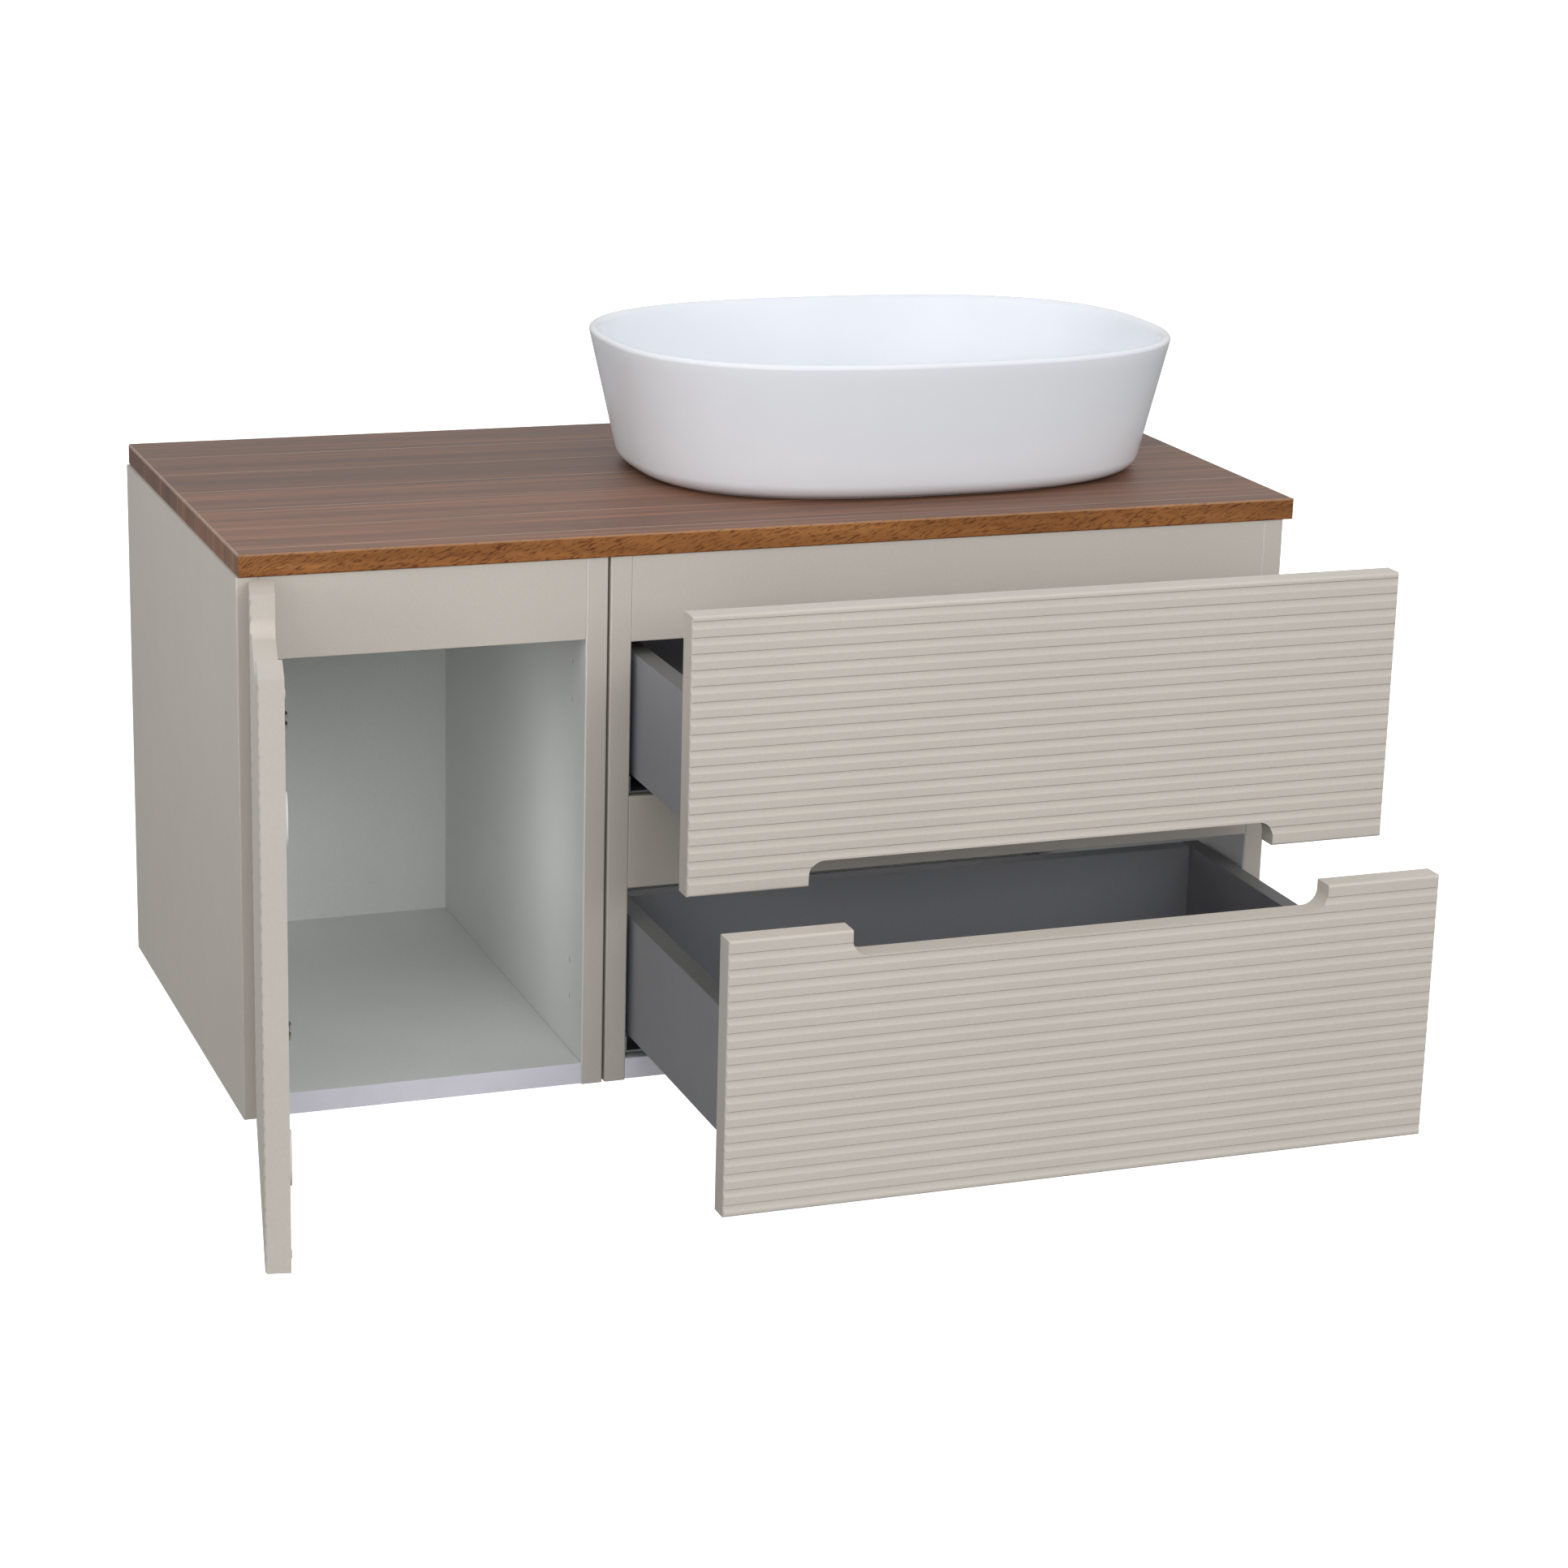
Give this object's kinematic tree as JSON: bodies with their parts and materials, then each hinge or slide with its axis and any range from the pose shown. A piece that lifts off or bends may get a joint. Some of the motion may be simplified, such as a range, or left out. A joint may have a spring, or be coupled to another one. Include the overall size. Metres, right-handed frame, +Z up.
{
  "type": "wall-hung vanity with countertop basin",
  "caption": "Wall-hung bathroom vanity with a fluted hinged door, fluted drawers with finger notches and an oval ceramic vessel basin on a wood-look top.",
  "frame": {"origin": "in the wall plane, mid-width of the carcass, at the height of the wall screws", "axes": "+Z up, +Y into the wall, +X to the right seen from the front; the door and drawers face -Y"},
  "size_m": [0.9579, 0.7491, 0.581],
  "materials": {
    "beige_board": "satin beige melamine foil on board",
    "fluted_front": "satin beige foil on milled board",
    "white_board": "off-white melamine",
    "grey_board": "matte dark grey foil",
    "walnut_top": "matte walnut-look laminate",
    "oak_band": "matte wood-look edge band",
    "raw_board": "raw particle board",
    "white_glaze": "gloss white glaze",
    "silicone": "translucent white silicone",
    "rubber_black": "matte black rubber",
    "chrome_waste": "polished",
    "waste_plastic": "moulded",
    "zinc_steel": "zinc plated",
    "hinge_nickel": "nickel plated",
    "screw_steel": "zinc plated",
    "cap_white": "smooth moulded",
    "bumper_clear": "soft clear polymer",
    "nylon": "moulded nylon"
  },
  "bodies": {
    "carcass": {"cupboard_left_side": "beige_board", "cupboard_right_side": "beige_board", "cupboard_bottom": "white_board", "cupboard_back": "white_board", "cupboard_apron": "beige_board", "cupboard_hanging_rail": "raw_board", "drawer_unit_left_side": "beige_board", "drawer_unit_right_side": "beige_board", "drawer_unit_bottom": "white_board", "drawer_unit_apron": "beige_board", "drawer_unit_mid_rail": "beige_board", "drawer_unit_hanging_rail": "raw_board", "drawer_unit_lower_back_rail": "white_board", "unit_connector_bolts": "screw_steel", "countertop_brackets": "zinc_steel", "countertop": "walnut_top", "countertop_front_band": "oak_band", "basin": "white_glaze", "basin_seal": "silicone", "waste_top_gasket": "rubber_black", "waste_body": "chrome_waste", "waste_under_gasket": "rubber_black", "waste_backnut": "waste_plastic", "waste_click_insert": "waste_plastic", "hinge_plates": "hinge_nickel", "hinge_plate_screws": "screw_steel", "hinge_arms": "hinge_nickel", "upper_cabinet_runners": "zinc_steel", "lower_cabinet_runners": "zinc_steel"},
    "door": {"door_panel": "fluted_front", "hinge_cups": "hinge_nickel", "hinge_cup_screws": "screw_steel", "hinge_hole_caps": "cap_white", "door_bumpers": "bumper_clear"},
    "upper_drawer": {"upper_front": "fluted_front", "upper_box_front": "grey_board", "upper_box_left_side": "grey_board", "upper_box_right_side": "grey_board", "upper_box_back": "grey_board", "upper_box_bottom": "grey_board", "upper_front_screws": "screw_steel", "upper_front_bumpers": "bumper_clear", "upper_drawer_runners": "zinc_steel"},
    "upper_runner_middle": {"upper_middle_runners": "zinc_steel", "upper_runner_rollers": "nylon"},
    "lower_drawer": {"lower_front": "fluted_front", "lower_box_front": "grey_board", "lower_box_left_side": "grey_board", "lower_box_right_side": "grey_board", "lower_box_back": "grey_board", "lower_box_bottom": "grey_board", "lower_front_screws": "screw_steel", "lower_front_bumpers": "bumper_clear", "lower_drawer_runners": "zinc_steel"},
    "lower_runner_middle": {"lower_middle_runners": "zinc_steel", "lower_runner_rollers": "nylon"},
    "waste_plug": {"waste_plug": "chrome_waste"}
  },
  "joints": [
    {"name": "door_hinge", "type": "hinge", "parent": "carcass", "child": "door", "pos_m": [-0.4402, -0.4625, 0], "axis": [0, 0, -1], "range_deg": [-101.3, 9]},
    {"name": "upper_drawer_slide", "type": "slide", "parent": "carcass", "child": "upper_drawer", "axis": [0, -1, 0], "range_m": [-0.181, 0.149]},
    {"name": "upper_runner_slide", "type": "slide", "parent": "carcass", "child": "upper_runner_middle", "axis": [0, -1, 0], "range_m": [-0.0905, 0.0745]},
    {"name": "lower_drawer_slide", "type": "slide", "parent": "carcass", "child": "lower_drawer", "axis": [0, -1, 0], "range_m": [-0.278, 0.052]},
    {"name": "lower_runner_slide", "type": "slide", "parent": "carcass", "child": "lower_runner_middle", "axis": [0, -1, 0], "range_m": [-0.139, 0.026]},
    {"name": "waste_plug_slide", "type": "slide", "parent": "carcass", "child": "waste_plug", "axis": [0, 0, 1], "range_m": [0, 0.008]}
  ],
  "couplings": [
    {"joint": "upper_runner_slide", "follows": "upper_drawer_slide", "ratio": 0.5},
    {"joint": "lower_runner_slide", "follows": "lower_drawer_slide", "ratio": 0.5}
  ]
}
